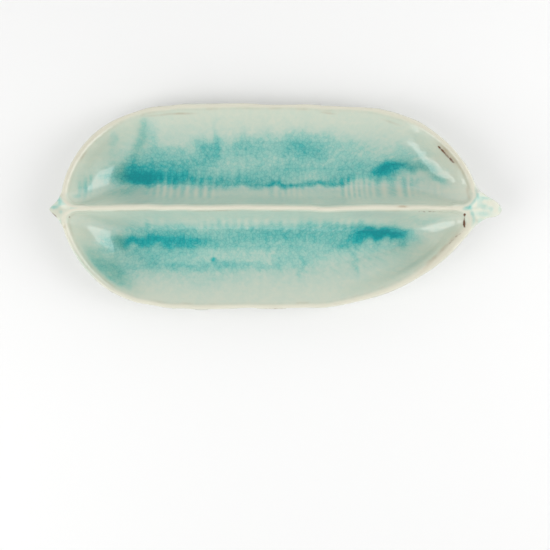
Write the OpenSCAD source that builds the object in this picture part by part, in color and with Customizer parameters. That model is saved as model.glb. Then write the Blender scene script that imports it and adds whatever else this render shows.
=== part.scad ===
// Stoneware dish in the shape of an opened seed pod: two shallow bowls side by side along a raised rib.
// Millimetres. +X runs to the stem, +Y to the far bowl, +Z up.
// The dish stands on z = 0, with the middle of its box on the Z axis.
// Bowls are drawn in [x, q]: q is the distance from the rib's plane.

/* [Bowls] */
// Width of the near bowl, from the rib's plane to the outside of its rim
near_w = 71.5; // [64:0.5:85]
// Width of the far bowl, from the rib's plane to the outside of its rim
far_w = 72.5; // [64:0.5:85]
// Reach of both bowls from the middle to the end with the tip
tip_reach = 147; // [125:0.5:170]
// Reach of both bowls from the middle to the end with the stem
stem_reach = 137; // [115:0.5:160]
// Place of the near bowl's widest point along the dish
near_widest_x = -40; // [-50:1:20]
// Place of the far bowl's widest point along the dish
far_widest_x = 0; // [-50:1:20]
// Height of the rim at mid-length
rim_h = 20; // [17:0.5:24]
// Thickness of the floor
floor_t = 5.5; // [4:0.1:7]
// Width of the lip along the sides
lip_w = 4; // [3:0.1:6]
// Width of the lip at both ends
end_lip_w = 5.5; // [4:0.1:8]
// How far the lip falls from its crest to its inner edge
lip_inner_fall = 1; // [0.2:0.1:1.5]
// How far the lip falls from its crest to its outer edge
lip_outer_fall = 2.2; // [0.5:0.1:3]

/* [Walls] */
// Width of the floor of each trough
floor_w = 8.5; // [4:0.5:16]
// Level run of the inner wall from the floor to the rib
rib_wall_run = 16; // [12:0.5:18]
// Level run of the inner wall at the tip end
tip_wall_run = 30; // [24:0.5:40]
// Level run of the inner wall at the stem end
stem_wall_run = 46; // [36:0.5:56]
// Distance from the rib's plane to the edge of the foot under the rib
foot_gap = 14; // [8:0.5:16]
// Width of the foot of each bowl
foot_w = 28; // [20:0.5:34]
// Level run of the outer wall from the foot to the tip end
foot_tip_run = 33; // [28:0.5:44]
// Level run of the outer wall from the foot to the stem end
foot_stem_run = 50; // [40:0.5:60]

/* [Rib, tip and stem] */
// Height of the rib's crest
crest_h = 38.5; // [31:0.5:46]
// Width of the rib on the seam
rib_w = 5; // [4:0.1:7]
// Height of the rib's crest above the seam at the tip
tip_rib_h = 3; // [2:0.1:6]
// Height of the rib's crest above the seam at the stem
stem_rib_h = 4.5; // [2:0.1:8]
// Gap between the two halves along the seam
luting_gap = 0.2; // [0.1:0.05:0.4]
// Distance from the rib's plane to the point where a rim turns into the rib
corner_q = 10; // [8:0.5:13]
// Length of the curve in which a rim turns into the rib
corner_run = 12; // [8:0.5:18]
// Length of the tip beyond the bowls
tip_len = 8; // [4:0.5:16]
// Rise of the tip's end above the crest
tip_rise = 1; // [0:0.5:6]
// Thickness of the tip at its end
tip_end_t = 2.5; // [1.5:0.1:3.5]
// Length of the stem beyond the bowls
stem_len = 18; // [10:0.5:30]
// Width of the stem at its end
stem_end_w = 13; // [9:0.5:18]
// Droop of the stem's end below the crest
stem_droop = 6.5; // [0:0.5:10]
// Thickness of the stem at its end
stem_end_t = 3.4; // [2.5:0.1:6]

/* [Glaze] */
// Depth of the glass that pooled in each trough
pool_depth = 1.2; // [0.5:0.1:2]

/* [Hidden] */

// Each bowl: its width, the x of its widest point, then its form toward the tip and toward the stem
// A form is [power of x, power of q, how late the rim starts to climb to the seam]
near = [near_w, near_widest_x, [3.8, 1.35, 4.4], [3.9, 1.1, 2]];
far = [far_w, far_widest_x, [5, 1.5, 3.8], [3.65, 1.5, 3.2]];
// Hollowness of the inner and outer walls: [middle of the rim, middle of the rib, tip end, stem end]
inner_bow_powers = [2.2, 2.6, 1.7, 1.35];
outer_bow_powers = [1.7, 2.1, 2, 1.2];

// Roundness of the rib's, tip's and stem's sections
dome_power = 2.2;
// Roundness of the tip and of the stem in plan, and the share of their width that is gone at their ends
tip_round = 1.2;
stem_round = 6;
end_closing_ratio = 0.98;
// How late the stem droops, and how soon its underside leaves the seam
droop_power = 2.2;
underside_power = 0.6;

// Facets along one side of a bowl, up a wall, over the lip, over a dome, along an end and along the rib
side_n = 40;
wall_n = 5;
lip_n = 4;
dome_n = 10;
end_n = 8;
rib_n = 8;

// Ends of the rib, where the rims start to turn into it
rib_tip_x = end_lip_w + corner_run - tip_reach;
rib_stem_x = stem_reach - end_lip_w - corner_run;

centre = [(tip_reach + tip_len - stem_reach - stem_len) / 2, (near_w - far_w) / 2, 0];

function mix(a, b, f) = a + (b - a) * f;
function seam_z(x) = crest_h - mix(tip_rib_h, stem_rib_h, (x + tip_reach) / (tip_reach + stem_reach));

// Loops of a bowl: [x of the tip end, x of the stem end, q of the ends, q of the rim side, q of the rib side]
function outer_loop(bowl) = [-tip_reach, stem_reach, corner_q, bowl[0], luting_gap / 2];
function inner_loop(bowl) =
    [end_lip_w - tip_reach, stem_reach - end_lip_w, corner_q, bowl[0] - lip_w, rib_w / 2];
floor_gap = rib_w / 2 + rib_wall_run;
floor_loop = [
    end_lip_w + tip_wall_run - tip_reach, stem_reach - end_lip_w - stem_wall_run,
    floor_gap + floor_w / 2, floor_gap + floor_w, floor_gap
];
foot_loop = [
    foot_tip_run - tip_reach, stem_reach - foot_stem_run,
    foot_gap + foot_w / 2, foot_gap + foot_w, foot_gap
];

// Station i runs from the stem end along the rim to the tip end, and back along the rib
loop_i = [0 : 2 * side_n - 1];
function on_rim(i) = i < side_n;
function station(i) = on_rim(i) ? sin(90 - 180 * i / side_n) : sin(180 * (i - side_n) / side_n - 90);
function loop_x(bowl, loop, i) =
    let (t = station(i), widest = bowl[1])
    widest + (t < 0 ? t * (widest - loop[0]) : t * (loop[1] - widest));

// Share of the way from a loop's ends to its rim, and from its ends to its rib
function rim_share(bowl, t) =
    let (form = bowl[t < 0 ? 2 : 3])
    pow(max(0, 1 - pow(abs(t), form[0])), 1 / form[1]);
function rib_share(end_gap) =
    end_gap >= corner_run ? 1 : sqrt(max(0, 1 - pow(1 - end_gap / corner_run, 2)));

function plan(bowl, loop, i) =
    let (x = loop_x(bowl, loop, i), end_gap = min(x - loop[0], loop[1] - x))
    on_rim(i) ? [x, mix(loop[2], loop[3], rim_share(bowl, station(i)))]
              : [x, mix(loop[2], loop[4], rib_share(end_gap))];

// Height of a loop on the lip, which lies a given fall below the lip's crest
function lip_z(bowl, loop, i, fall) =
    let (x = loop_x(bowl, loop, i), along = x < 0 ? x / loop[0] : x / loop[1])
    let (climb = pow(min(1, along), bowl[x < 0 ? 2 : 3][2]))
    on_rim(i) ? mix(rim_h - fall, seam_z(x), climb) : seam_z(x);

function bow(powers, i) =
    let (t = station(i))
    mix(powers[on_rim(i) ? 0 : 1], powers[t < 0 ? 2 : 3], t * t);

// Point of a wall at share s of the way from a low loop at height z to a loop on the lip
function wall_point(bowl, low, high, z, fall, powers, i, s) =
    let (p = mix(plan(bowl, low, i), plan(bowl, high, i), s))
    [p[0], p[1], mix(z, lip_z(bowl, high, i, fall), pow(s, bow(powers, i)))];
function inner_point(bowl, i, s) =
    wall_point(bowl, floor_loop, inner_loop(bowl), floor_t, lip_inner_fall, inner_bow_powers, i, s);
function outer_point(bowl, i, s) =
    wall_point(bowl, foot_loop, outer_loop(bowl), 0, lip_outer_fall, outer_bow_powers, i, s);

// Point of the lip between its inner and outer edges, round along the rim and flat on the seam
function lip_point(bowl, i, s) =
    let (p = mix(inner_point(bowl, i, 1), outer_point(bowl, i, 1), s))
    let (crest = lip_z(bowl, outer_loop(bowl), i, 0), swell = 4 * s * (1 - s))
    [p[0], p[1], on_rim(i) ? mix(p[2], max(p[2], crest), swell) : p[2]];

// Share of the inner wall that the pooled glass covers
function pool_share(bowl, i) =
    let (wall_h = lip_z(bowl, inner_loop(bowl), i, lip_inner_fall) - floor_t)
    pow(pool_depth / wall_h, 1 / bow(inner_bow_powers, i));

function pool_rings(bowl) =
    [for (k = [0 : 2]) [for (i = loop_i) inner_point(bowl, i, pool_share(bowl, i) * k / 2)]];
function bowl_rings(bowl) = concat(
    pool_rings(bowl),
    [for (k = [1 : wall_n]) [for (i = loop_i) inner_point(bowl, i, mix(pool_share(bowl, i), 1, k / wall_n))]],
    [for (k = [1 : lip_n - 1]) [for (i = loop_i) lip_point(bowl, i, k / lip_n)]],
    [for (k = [0 : wall_n]) [for (i = loop_i) outer_point(bowl, i, 1 - k / wall_n)]]
);

// Section of the rib, tip or stem at x: a dome of half width h that stands on its seat
function dome(x, h, seat, crest) =
    [for (j = [0 : dome_n])
        let (c = cos(180 * j / dome_n), s = sin(180 * j / dome_n))
        [x, h * sign(c) * pow(abs(c), 2 / dome_power), mix(seat, crest, pow(abs(s), 2 / dome_power))]];

// Half width of the seat where the two rims turn into the rib
function seat_half(end_gap) = mix(corner_q, rib_w / 2, rib_share(end_gap));

// Distances from the rib's end along the tip or the stem: the turn of the rims, the lip, and the free part
function end_steps(free_len) = concat(
    [for (k = [0 : end_n - 1]) corner_run * sin(90 * k / end_n)],
    [for (k = [0 : lip_n - 1]) corner_run + end_lip_w * k / lip_n],
    [for (k = [0 : end_n]) corner_run + end_lip_w + free_len * sin(90 * k / end_n)]
);

function rib_section(x) = dome(x, rib_w / 2, seam_z(x), crest_h);

function tip_section(d) =
    let (x = rib_tip_x - d)
    let (past_turn = max(0, d - corner_run) / (end_lip_w + tip_len))
    let (past_lip = max(0, d - corner_run - end_lip_w) / tip_len)
    let (crest = crest_h + tip_rise * past_turn * past_turn)
    let (beak = corner_q * sqrt(1 - end_closing_ratio * pow(past_turn, tip_round)))
    let (seat = mix(seam_z(x), crest - tip_end_t, past_lip))
    dome(x, past_turn > 0 ? beak : seat_half(corner_run - d), seat, crest);

function stem_section(d) =
    let (x = rib_stem_x + d)
    let (past_turn = max(0, d - corner_run) / (end_lip_w + stem_len))
    let (past_lip = max(0, d - corner_run - end_lip_w) / stem_len)
    let (crest = crest_h - stem_droop * pow(d / (corner_run + end_lip_w + stem_len), droop_power))
    let (end_underside = crest_h - stem_droop - stem_end_t)
    let (taper = mix(corner_q, stem_end_w / 2, past_turn))
    let (strap = taper * sqrt(1 - end_closing_ratio * pow(past_turn, stem_round)))
    let (seat = mix(seam_z(x), end_underside, pow(past_lip, underside_power)))
    dome(x, past_turn > 0 ? strap : seat_half(corner_run - d), seat, crest);

// Closed solid through rings of points, with a flat cap on the first ring and on the last
function flipped(face, flip) = flip ? [for (k = [len(face) - 1 : -1 : 0]) face[k]] : face;
module skin(rings, flip = false) {
    n = len(rings[0]);
    last = (len(rings) - 1) * n;
    points = [for (ring = rings) each ring];
    sides = [for (r = [0 : len(rings) - 2], i = [0 : n - 1])
        let (a = r * n + i, b = r * n + (i + 1) % n)
        each [[a, b, b + n], [a, b + n, a + n]]];
    caps = [[for (i = [n - 1 : -1 : 0]) i], [for (i = [0 : n - 1]) last + i]];
    translate(centre) polyhedron(points, [for (face = concat(sides, caps)) flipped(face, flip)]);
}

// The near bowl is drawn on the far side and turned over the rib's plane
module near_side() { translate([0, 2 * centre[1], 0]) mirror([0, 1, 0]) children(); }

module near_bowl() { color("#cfd9cd") near_side() skin(bowl_rings(near)); }
module far_bowl() { color("#cfd9cd") skin(bowl_rings(far)); }
module centre_rib() {
    xs = [for (k = [0 : rib_n]) mix(rib_stem_x, rib_tip_x, k / rib_n)];
    color("#e4e0cf") skin([for (x = xs) rib_section(x)]);
}
module pod_tip() { color("#e0dccb") skin([for (d = end_steps(tip_len)) tip_section(d)]); }
module stem_handle() {
    steps = end_steps(stem_len);
    color("#d5dccc") skin([for (k = [len(steps) - 1 : -1 : 0]) stem_section(steps[k])]);
}
module near_glaze_pool() { color("#2ba3a8") near_side() skin(pool_rings(near), flip = true); }
module far_glaze_pool() { color("#2ba3a8") skin(pool_rings(far), flip = true); }

near_bowl();
far_bowl();
centre_rib();
pod_tip();
stem_handle();
near_glaze_pool();
far_glaze_pool();
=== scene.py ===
from collections import namedtuple
from math import cos, pi, radians, sin

import bmesh
import bpy
import numpy as np
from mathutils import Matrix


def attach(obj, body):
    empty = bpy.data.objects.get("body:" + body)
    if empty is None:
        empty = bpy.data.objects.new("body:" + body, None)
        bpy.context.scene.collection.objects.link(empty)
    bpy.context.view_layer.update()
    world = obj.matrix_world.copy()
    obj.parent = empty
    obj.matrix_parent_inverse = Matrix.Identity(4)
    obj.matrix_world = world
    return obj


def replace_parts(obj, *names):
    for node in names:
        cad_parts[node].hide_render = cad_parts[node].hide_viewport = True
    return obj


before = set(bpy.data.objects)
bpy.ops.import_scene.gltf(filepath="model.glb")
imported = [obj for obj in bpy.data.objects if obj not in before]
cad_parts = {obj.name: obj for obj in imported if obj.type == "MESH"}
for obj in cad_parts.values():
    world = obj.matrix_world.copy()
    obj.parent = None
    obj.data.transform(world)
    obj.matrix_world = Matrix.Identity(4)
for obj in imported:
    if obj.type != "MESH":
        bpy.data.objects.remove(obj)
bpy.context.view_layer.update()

scene = bpy.context.scene

# Shapes are in millimetres in the frame of the solids, and become metres in the meshes
MM = 0.001

# Sizes, repeated from the solids
TIP_REACH = 147.0
STEM_REACH = 137.0
TIP_REACH_OUT = 155.3
STEM_END_X = 155.0
RIM_H = 20.0
FLOOR_T = 5.5
LIP_W = 4.0
END_LIP_W = 5.5
LIP_INNER_FALL = 1.0
LIP_OUTER_FALL = 2.2
CREST_H = 38.5
TIP_RIB_H = 3.0
STEM_RIB_H = 4.5
RIB_W = 5.0
LUTING_GAP = 0.2
CORNER_Q = 10.0
CORNER_RUN = 12.0
POOL_DEPTH = 1.2
RIB_Y = -0.5
RIB_TIP_X = END_LIP_W + CORNER_RUN - TIP_REACH
RIB_STEM_X = STEM_REACH - END_LIP_W - CORNER_RUN

# A bowl's form is [power of x, power of q, how late the rim climbs]; q is the distance from the rib's plane
# The ends of its hollow and of the ridge around it follow, as x and as shares across the lip
Bowl = namedtuple("Bowl", "name side width widest toward_tip toward_stem hollow ridge_at")
NEAR = Bowl("near", -1, 71.5, -40.0, (3.8, 1.35, 4.4), (3.9, 1.1, 2.0), (-141.7, 128.0), (0.5, 0.66))
FAR = Bowl("far", 1, 72.5, 0.0, (5.0, 1.5, 3.8), (3.65, 1.5, 3.2), (-141.7, 132.2), (0.5, 0.58))

# A loop goes round a bowl at one level: x of its tip and stem ends, q of these two ends, of the rim and of
# the rib, runs of its corners by the rib at the two ends, and how much rounder its ends are than the rim's
Loop = namedtuple("Loop", "tip stem end_q rim_q rib_q corner_run rounder")
FLOOR_LOOP = Loop(-109.0, 85.5, (27.5, 27.0), 30.0, 18.5, (9.0, 20.0), 0.7)
FOOT_LOOP = Loop(-116.5, 89.0, (28.0, 28.0), 42.0, 14.0, (12.0, 12.0), 0.0)
LIP_END_Q = (CORNER_Q, CORNER_Q)
INNER_CORNER_RUN = (6.5, 6.5)
OUTER_CORNER_RUN = (11.0, 11.0)
# Hollowness of the walls: [middle of the rim, middle of the rib, tip end, stem end]
INNER_BOW = (2.2, 2.6, 1.8, 1.45)
OUTER_BOW = (1.7, 2.1, 2.0, 1.32)

# Grid on which the body is shaped
STEP = 0.9
GRID_LOW = np.array([-158.4, -75.6, -2.7])
GRID_HIGH = np.array([158.4, 75.6, 42.3])
SOLVE_STEPS = 24


# Plain helpers

def mix(a, b, f):
    return a + (b - a) * f


def smooth(low, high, x):
    f = np.clip((x - low) / (high - low), 0, 1)
    return f * f * (3 - 2 * f)


def grade(x, low, high, at_low, at_high):
    return mix(at_low, at_high, smooth(low, high, x))


def hump(x, middle, half):
    return np.exp(-((x - middle) / half) ** 2)


def humps(x, rows):
    """Sum of humps along x, each [x, half length, height]."""
    return sum(height * hump(x, middle, half) for middle, half, height in rows)


def soft_max(a, b, k):
    h = np.maximum(k - np.abs(a - b), 0) / k
    return np.maximum(a, b) + h * h * k / 4


def soft_min(a, b, k):
    return -soft_max(-a, -b, k)


def soft_noise(u, v, seed, cells=64):
    """Smooth noise from 0 to 1 whose features are about one unit across."""
    table = np.random.default_rng(seed).random((cells, cells))
    u0 = np.floor(u).astype(int)
    v0 = np.floor(v).astype(int)
    fu = smooth(0, 1, u - u0)
    fv = smooth(0, 1, v - v0)
    low = mix(table[u0 % cells, v0 % cells], table[(u0 + 1) % cells, v0 % cells], fu)
    high = mix(table[u0 % cells, (v0 + 1) % cells], table[(u0 + 1) % cells, (v0 + 1) % cells], fu)
    return mix(low, high, fv)


def line_noise(x, side, length, row, seed):
    """Smooth noise from 0 to 1 along x, not the same on the two sides."""
    return soft_noise(x / length, x * 0 + side * row, seed)


# Bowls as heights over the plan

def seam_z(x):
    return CREST_H - mix(TIP_RIB_H, STEM_RIB_H, (x + TIP_REACH) / (TIP_REACH + STEM_REACH))


def outer_loop(bowl):
    return Loop(-TIP_REACH, STEM_REACH, LIP_END_Q, bowl.width, LUTING_GAP / 2, OUTER_CORNER_RUN, 0.0)


def inner_loop(bowl):
    return Loop(*bowl.hollow, LIP_END_Q, bowl.width - LIP_W, RIB_W / 2, INNER_CORNER_RUN, 0.0)


def rib_share(end_gap, run):
    short = np.clip(1 - end_gap / run, 0, 1)
    return np.sqrt(1 - short * short)


def at_end(bowl, x, pair):
    """The tip's or the stem's value of a pair, by the end that x lies toward."""
    return np.where(x < bowl.widest, *pair)


def reach(bowl, loop, x):
    return at_end(bowl, x, (bowl.widest - loop.tip, loop.stem - bowl.widest))


def form(bowl, x, k, split):
    return np.where(x < split, bowl.toward_tip[k], bowl.toward_stem[k])


# Shares of the way from the floor to the lip between which a floor's rounder ends die out
ROUNDER_FADE = (1.0, 0.5)


def across(bowl, low, high, x, share):
    """A loop at a share of the way from low to high, at x: how far along, and q of its end, rim and rib."""
    reach_low = reach(bowl, low, x)
    reach_high = reach(bowl, high, x)
    along = np.abs(x - bowl.widest) / np.maximum(mix(reach_low, reach_high, share), 1)
    a = np.minimum(along, 1)
    rim_power = form(bowl, x, 1, bowl.widest) + low.rounder * smooth(*ROUNDER_FADE, share)
    rim_part = (1 - a ** form(bowl, x, 0, bowl.widest)) ** (1 / rim_power)
    end_low = at_end(bowl, x, low.end_q)
    end_high = at_end(bowl, x, high.end_q)
    end_q = mix(end_low, end_high, share)
    rim_q = mix(end_q, mix(low.rim_q, high.rim_q, share), rim_part)
    rib_low = mix(end_low, low.rib_q, rib_share(reach_low * (1 - a), at_end(bowl, x, low.corner_run)))
    rib_high = mix(end_high, high.rib_q, rib_share(reach_high * (1 - a), at_end(bowl, x, high.corner_run)))
    return along, end_q, rim_q, mix(rib_low, rib_high, share)


def share_at(bowl, low, high, x, q, top):
    """Share of the way from low to high of the loop that passes through each point."""
    least = np.zeros_like(x)
    most = np.full_like(x, top)
    for _ in range(SOLVE_STEPS):
        middle = (least + most) / 2
        along, _, rim_q, rib_q = across(bowl, low, high, x, middle)
        inside = (along < 1) & (q <= rim_q) & (q >= rib_q)
        most = np.where(inside, middle, most)
        least = np.where(inside, least, middle)
    return most


def climb_of(bowl, x):
    along = np.minimum(np.where(x < 0, -x / TIP_REACH, x / STEM_REACH), 1)
    return along ** form(bowl, x, 2, 0)


def lip_height(bowl, loop, x, a, on_rim, fall):
    """Height of a loop on the lip, which lies a given fall below the lip's crest."""
    rim = mix(RIM_H - fall, seam_z(x), climb_of(bowl, x))
    end_x = at_end(bowl, x, (loop.tip, loop.stem))
    end = mix(RIM_H - fall, seam_z(end_x), climb_of(bowl, end_x))
    rib = mix(end, seam_z(x), rib_share(reach(bowl, loop, x) * (1 - a), at_end(bowl, x, loop.corner_run)))
    return np.where(on_rim, rim, rib)


def bow_of(powers, bowl, x, a, on_rim):
    middle = np.where(on_rim, powers[0], powers[1])
    end = np.where(x < bowl.widest, powers[2], powers[3])
    return mix(middle, end, a * a)


def on_loop(bowl, loop, x, a):
    """x of the point of a loop at the same station."""
    return bowl.widest + np.sign(x - bowl.widest) * a * reach(bowl, loop, x)


# Height of the lip's ridge above its edges, along the sides and at the ends
RIDGE_H = (1.2, 2.5)
# Its place across the lip along the sides
SIDE_RIDGE_AT = 0.5
# How far past a bowl's edge its surfaces are followed, in shares of the lip and of the hull
LIP_TOP_SHARE = 2.6
HULL_TOP_SHARE = 1.6
# Shares that count as on the lip, and as equal
ON_LIP = 1e-4
SHARE_SLACK = 1e-3
# Heights that all of the dish is below, and that stands for no hull outside the plan
ABOVE_ALL = 45
NO_HULL_Z = 60.0
# Rounding of the slot under the rib
GROOVE_R = 0.8
# Rise and fall of the crest along the rib: [x, half length, height]
CREST_WAVES = ((28, 26, 0.3), (78, 26, -1.8), (-102, 18, -1.2))


def top_of(bowl, x, q):
    """Upper surface of a bowl: its height, share up the wall, share over the lip, and flow line."""
    inner = inner_loop(bowl)
    outer = outer_loop(bowl)
    wall = share_at(bowl, FLOOR_LOOP, inner, x, q, 1.0)
    along, end_q, rim_q, rib_q = across(bowl, FLOOR_LOOP, inner, x, wall)
    a = np.minimum(along, 1)
    on_rim = q >= end_q
    lip_x = on_loop(bowl, inner, x, a)
    lip_z = lip_height(bowl, inner, lip_x, a, on_rim, LIP_INNER_FALL)
    wall_z = mix(FLOOR_T, lip_z, wall ** bow_of(INNER_BOW, bowl, x, a, on_rim))
    lip_q = np.where(on_rim, rim_q, rib_q)

    over = share_at(bowl, inner, outer, x, q, LIP_TOP_SHARE)
    along, end_q, _, _ = across(bowl, inner, outer, x, over)
    a_lip = np.minimum(along, 1)
    lip_on_rim = q >= end_q
    x_in = on_loop(bowl, inner, x, a_lip)
    x_out = on_loop(bowl, outer, x, a_lip)
    z_in = lip_height(bowl, inner, x_in, a_lip, lip_on_rim, LIP_INNER_FALL)
    z_out = lip_height(bowl, outer, x_out, a_lip, lip_on_rim, LIP_OUTER_FALL)
    climb = np.where(lip_on_rim, climb_of(bowl, x_in), 1.0)
    end_gap = reach(bowl, outer, x) * (1 - a_lip)
    rib = np.where(lip_on_rim, 0.0, rib_share(end_gap, at_end(bowl, x, outer.corner_run)) ** 2)
    end_ridge_at = mix(SIDE_RIDGE_AT, np.where(x < 0, *bowl.ridge_at), climb)
    ridge_at = mix(end_ridge_at, 1.0, rib)
    ridge_h = mix(mix(*RIDGE_H, climb), CREST_H + humps(x, CREST_WAVES) - seam_z(x), rib)
    run_out = mix(1 - end_ridge_at, 1.0, rib)
    off = (over - ridge_at) / np.where(over < ridge_at, ridge_at, run_out)
    lip_top = mix(z_in, z_out, np.minimum(over, 1)) + ridge_h * (1 - off * off)

    z = np.where(over > ON_LIP, lip_top, wall_z)
    return z, wall, over, lip_x, lip_q, on_rim


def under_of(bowl, x, q):
    """Lower surface of a bowl: its height and share up the hull."""
    outer = outer_loop(bowl)
    q_soft = np.sqrt(q * q + GROOVE_R ** 2)
    hull = share_at(bowl, FOOT_LOOP, outer, x, q_soft, HULL_TOP_SHARE)
    along, end_q, _, _ = across(bowl, FOOT_LOOP, outer, x, hull)
    a = np.minimum(along, 1)
    on_rim = q_soft >= end_q
    edge_x = on_loop(bowl, outer, x, a)
    edge_z = lip_height(bowl, outer, edge_x, a, on_rim, LIP_OUTER_FALL)
    z = edge_z * hull ** bow_of(OUTER_BOW, bowl, x, a, on_rim)
    return np.where(hull > HULL_TOP_SHARE - SHARE_SLACK, NO_HULL_Z, z), hull


# Unevenness of a hand-formed rim: [length, row of the noise, seed, height], and q where it sets in
RIM_WAVES = ((26, 3.3, 11, 1.3), (9, 5.7, 12, 0.5))
RIM_WAVES_Q = (40, 70)


def hand_waves(bowl, x, q):
    """q of points, with the unevenness of the rim taken off."""
    wave = sum(height * (line_noise(x, bowl.side, *noise) - 0.5) for *noise, height in RIM_WAVES)
    return q - wave * smooth(*RIM_WAVES_Q, q)


# Finger marks up the sides of the rib: how far apart, how deep, and how slowly they set in
FLUTE_PITCH = 5.6
FLUTE_DEPTH = 0.14
FLUTE_FADE = 12
# Unevenness of their spacing and of their strength: [length, row of the noise, seed]
FLUTE_SPACING = (23, 7.1, 13)
FLUTE_SHIFT = 2.0
FLUTE_STRENGTH = (17, 4.3, 14)
FLUTE_BAND = (0.35, 0.8)
# Where they are plainest, [x, half length], and x of the first and the last
NEAR_PLAINEST = (15, 40)
FAR_PLAINEST = (72, 26)
PLAINEST_GAIN = 0.8
NEAR_FLUTES = (-100, 92)
FAR_FLUTES = (-88, 112)


def flutes(x, side):
    """Ridges between the finger marks and the gaps beside them, from 0 to 1."""
    phase = x / FLUTE_PITCH + FLUTE_SHIFT * line_noise(x, side, *FLUTE_SPACING)
    plain = hump(x, *(FAR_PLAINEST if side > 0 else NEAR_PLAINEST))
    strength = smooth(*FLUTE_BAND, line_noise(x, side, *FLUTE_STRENGTH)) + PLAINEST_GAIN * plain
    first, last = FAR_FLUTES if side > 0 else NEAR_FLUTES
    strength = np.clip(strength, 0, 1) * smooth(first - FLUTE_FADE, first + FLUTE_FADE, x)
    strength = strength * smooth(last + FLUTE_FADE, last - FLUTE_FADE, x)
    wave = 0.5 + 0.5 * np.cos(2 * pi * phase)
    return strength * wave, strength * (1 - wave)


# Sway of the rib: its waves, like the rim's, their mean, its reach, and |x| where it dies out
SWAY_WAVES = ((34, 0, 15, 1.0), (11, 0, 16, 0.4))
SWAY_MEAN = 0.7
SWAY = 1.5
SWAY_X = (122, 100)


def rib_y(x):
    """The rib's middle, which sways a little."""
    wave = sum(height * line_noise(x, 0, *noise) for *noise, height in SWAY_WAVES) - SWAY_MEAN
    return RIB_Y + SWAY * wave * smooth(*SWAY_X, np.abs(x))


def blurred(surface, reach_mm, span=3):
    """A surface on the grid, averaged around each point over a span of reaches."""
    count = int(span * reach_mm / STEP)
    weights = np.exp(-0.5 * (np.arange(-count, count + 1) * STEP / reach_mm) ** 2)
    weights /= weights.sum()
    for axis in (0, 1):
        padded = np.pad(surface, [(count, count) if k == axis else (0, 0) for k in (0, 1)], mode="edge")
        length = surface.shape[axis]
        parts = [np.take(padded, range(k, k + length), axis) * w for k, w in enumerate(weights)]
        surface = sum(parts)
    return surface


# Reach of the averages
TROUGH_SOFTNESS = 3.0
END_SOFTNESS = 1.4
LIP_SOFTNESS = 0.9
HULL_SOFTNESS = 4.0
LEAST_WEIGHT = 0.05
# Where they set in: shares up the hull, the walls and the lip, q by the slot, and x from the troughs' middle
HULL_EDGE = (0.97, 0.8)
SLOT_Q = (3, 9)
LIP_FROM = (0.75, 0.95)
LIP_TO = (1.1, 0.7)
TROUGH_WALL = (0.75, 0.4)
END_X = (60, 90)
END_SHIFT = 12
# q between which the finger marks start and end
MARKS_FROM = (3, 5)
MARKS_TO = (19, 14)
# Least thickness of the walls, its blend, and the height of the hull up to which it is kept
LEAST_WALL = 2.8
LEAST_WALL_BLEND = 2.0
LEAST_WALL_Z = 40


def soft_hull(under, hull, q):
    """The lower surface, rounded except at its edge and the slot under the rib."""
    real = under < ABOVE_ALL
    total = blurred(np.where(real, under, 0), HULL_SOFTNESS)
    soft = total / np.maximum(blurred(real.astype(float), HULL_SOFTNESS), LEAST_WEIGHT)
    return np.where(real, mix(under, soft, smooth(*HULL_EDGE, hull) * smooth(*SLOT_Q, q)), under)


def both_halves(x, y):
    """Upper and lower surface of the two bowls over the plan, and the share over the lip."""
    top, under, hull, wall, over = np.empty((5, *x.shape))
    side = y - rib_y(x)
    for bowl in (NEAR, FAR):
        here = side * bowl.side >= 0
        hx = x[here]
        q = hand_waves(bowl, hx, np.abs(side[here]))
        marks = FLUTE_DEPTH * flutes(hx, bowl.side)[0] * smooth(*MARKS_FROM, q) * smooth(*MARKS_TO, q)
        top[here], wall[here], over[here] = top_of(bowl, hx, q - marks)[:3]
        under[here], hull[here] = under_of(bowl, hx, q)
    under = soft_hull(under, hull, np.abs(side))
    thin = soft_max(top, under + LEAST_WALL, LEAST_WALL_BLEND)
    top = np.clip(mix(top, thin, (over < SHARE_SLACK) & (under < LEAST_WALL_Z)), 0, ABOVE_ALL)
    top = mix(top, blurred(top, LIP_SOFTNESS), smooth(*LIP_FROM, wall) * smooth(*LIP_TO, over))
    ends = smooth(*END_X, np.abs(x + END_SHIFT) - END_SHIFT)
    soft = mix(blurred(top, TROUGH_SOFTNESS), blurred(top, END_SOFTNESS), ends)
    return mix(top, soft, smooth(*TROUGH_WALL, wall)), under, over


# Stem and tip

SIDE_SLOPE = 0.85
# How far both reach under the rims
RIM_OVERLAP = 0.6

# Stem: start, half width at its root and its end, and how late it rounds off
STEM_START_X = 121
STEM_HALF = (9.0, 5.8)
STEM_END_POWER = 5
# How much wider its root is on either side, and how soon that is lost
STEM_FLARE = 0.8
STEM_FLARE_POWER = 4
STEM_TOP = 37.8
STEM_DROOP = 6.0
STEM_DROOP_POWER = 2.2
STEM_HOLLOW = 0.9
# Sideways lean, dip between the rims, and thickness, each from one x to another
STEM_LEAN = (141, 156, 1.0, -1.2)
STEM_DIP = (141, 134, 0, 0.9)
STEM_T = (130, 152, 7.0, 3.0)
# Share of the thickness lost toward the edges, and rounding of the edges
STEM_BELLY = 0.5
STEM_ROUND = 1.8

# The stem's root spreads along the outside of the near and far rims: [speed, power] from a start
ROOT_START = 146.0
ROOT_SPREAD = ((0.224, 1.418), (0.0947, 1.904))
ROOT_LENGTH = 16
ROOT_HALF = 5.5
ROOT_LEAN = 1
# What is kept of it, and the share over the lip where it starts
ROOT_MIDDLE = 134.0
ROOT_KEPT = 7.0
ROOT_OVER = 0.75
# Height, width that stays level, slope beyond it, and thickness where level and after a run
ROOT_TOP = 34.4
ROOT_LEVEL = 9
ROOT_SLOPE = 0.25
ROOT_T = (2.6, 1.0)
ROOT_T_RUN = 8
ROOT_ROUND = 1.0

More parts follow.
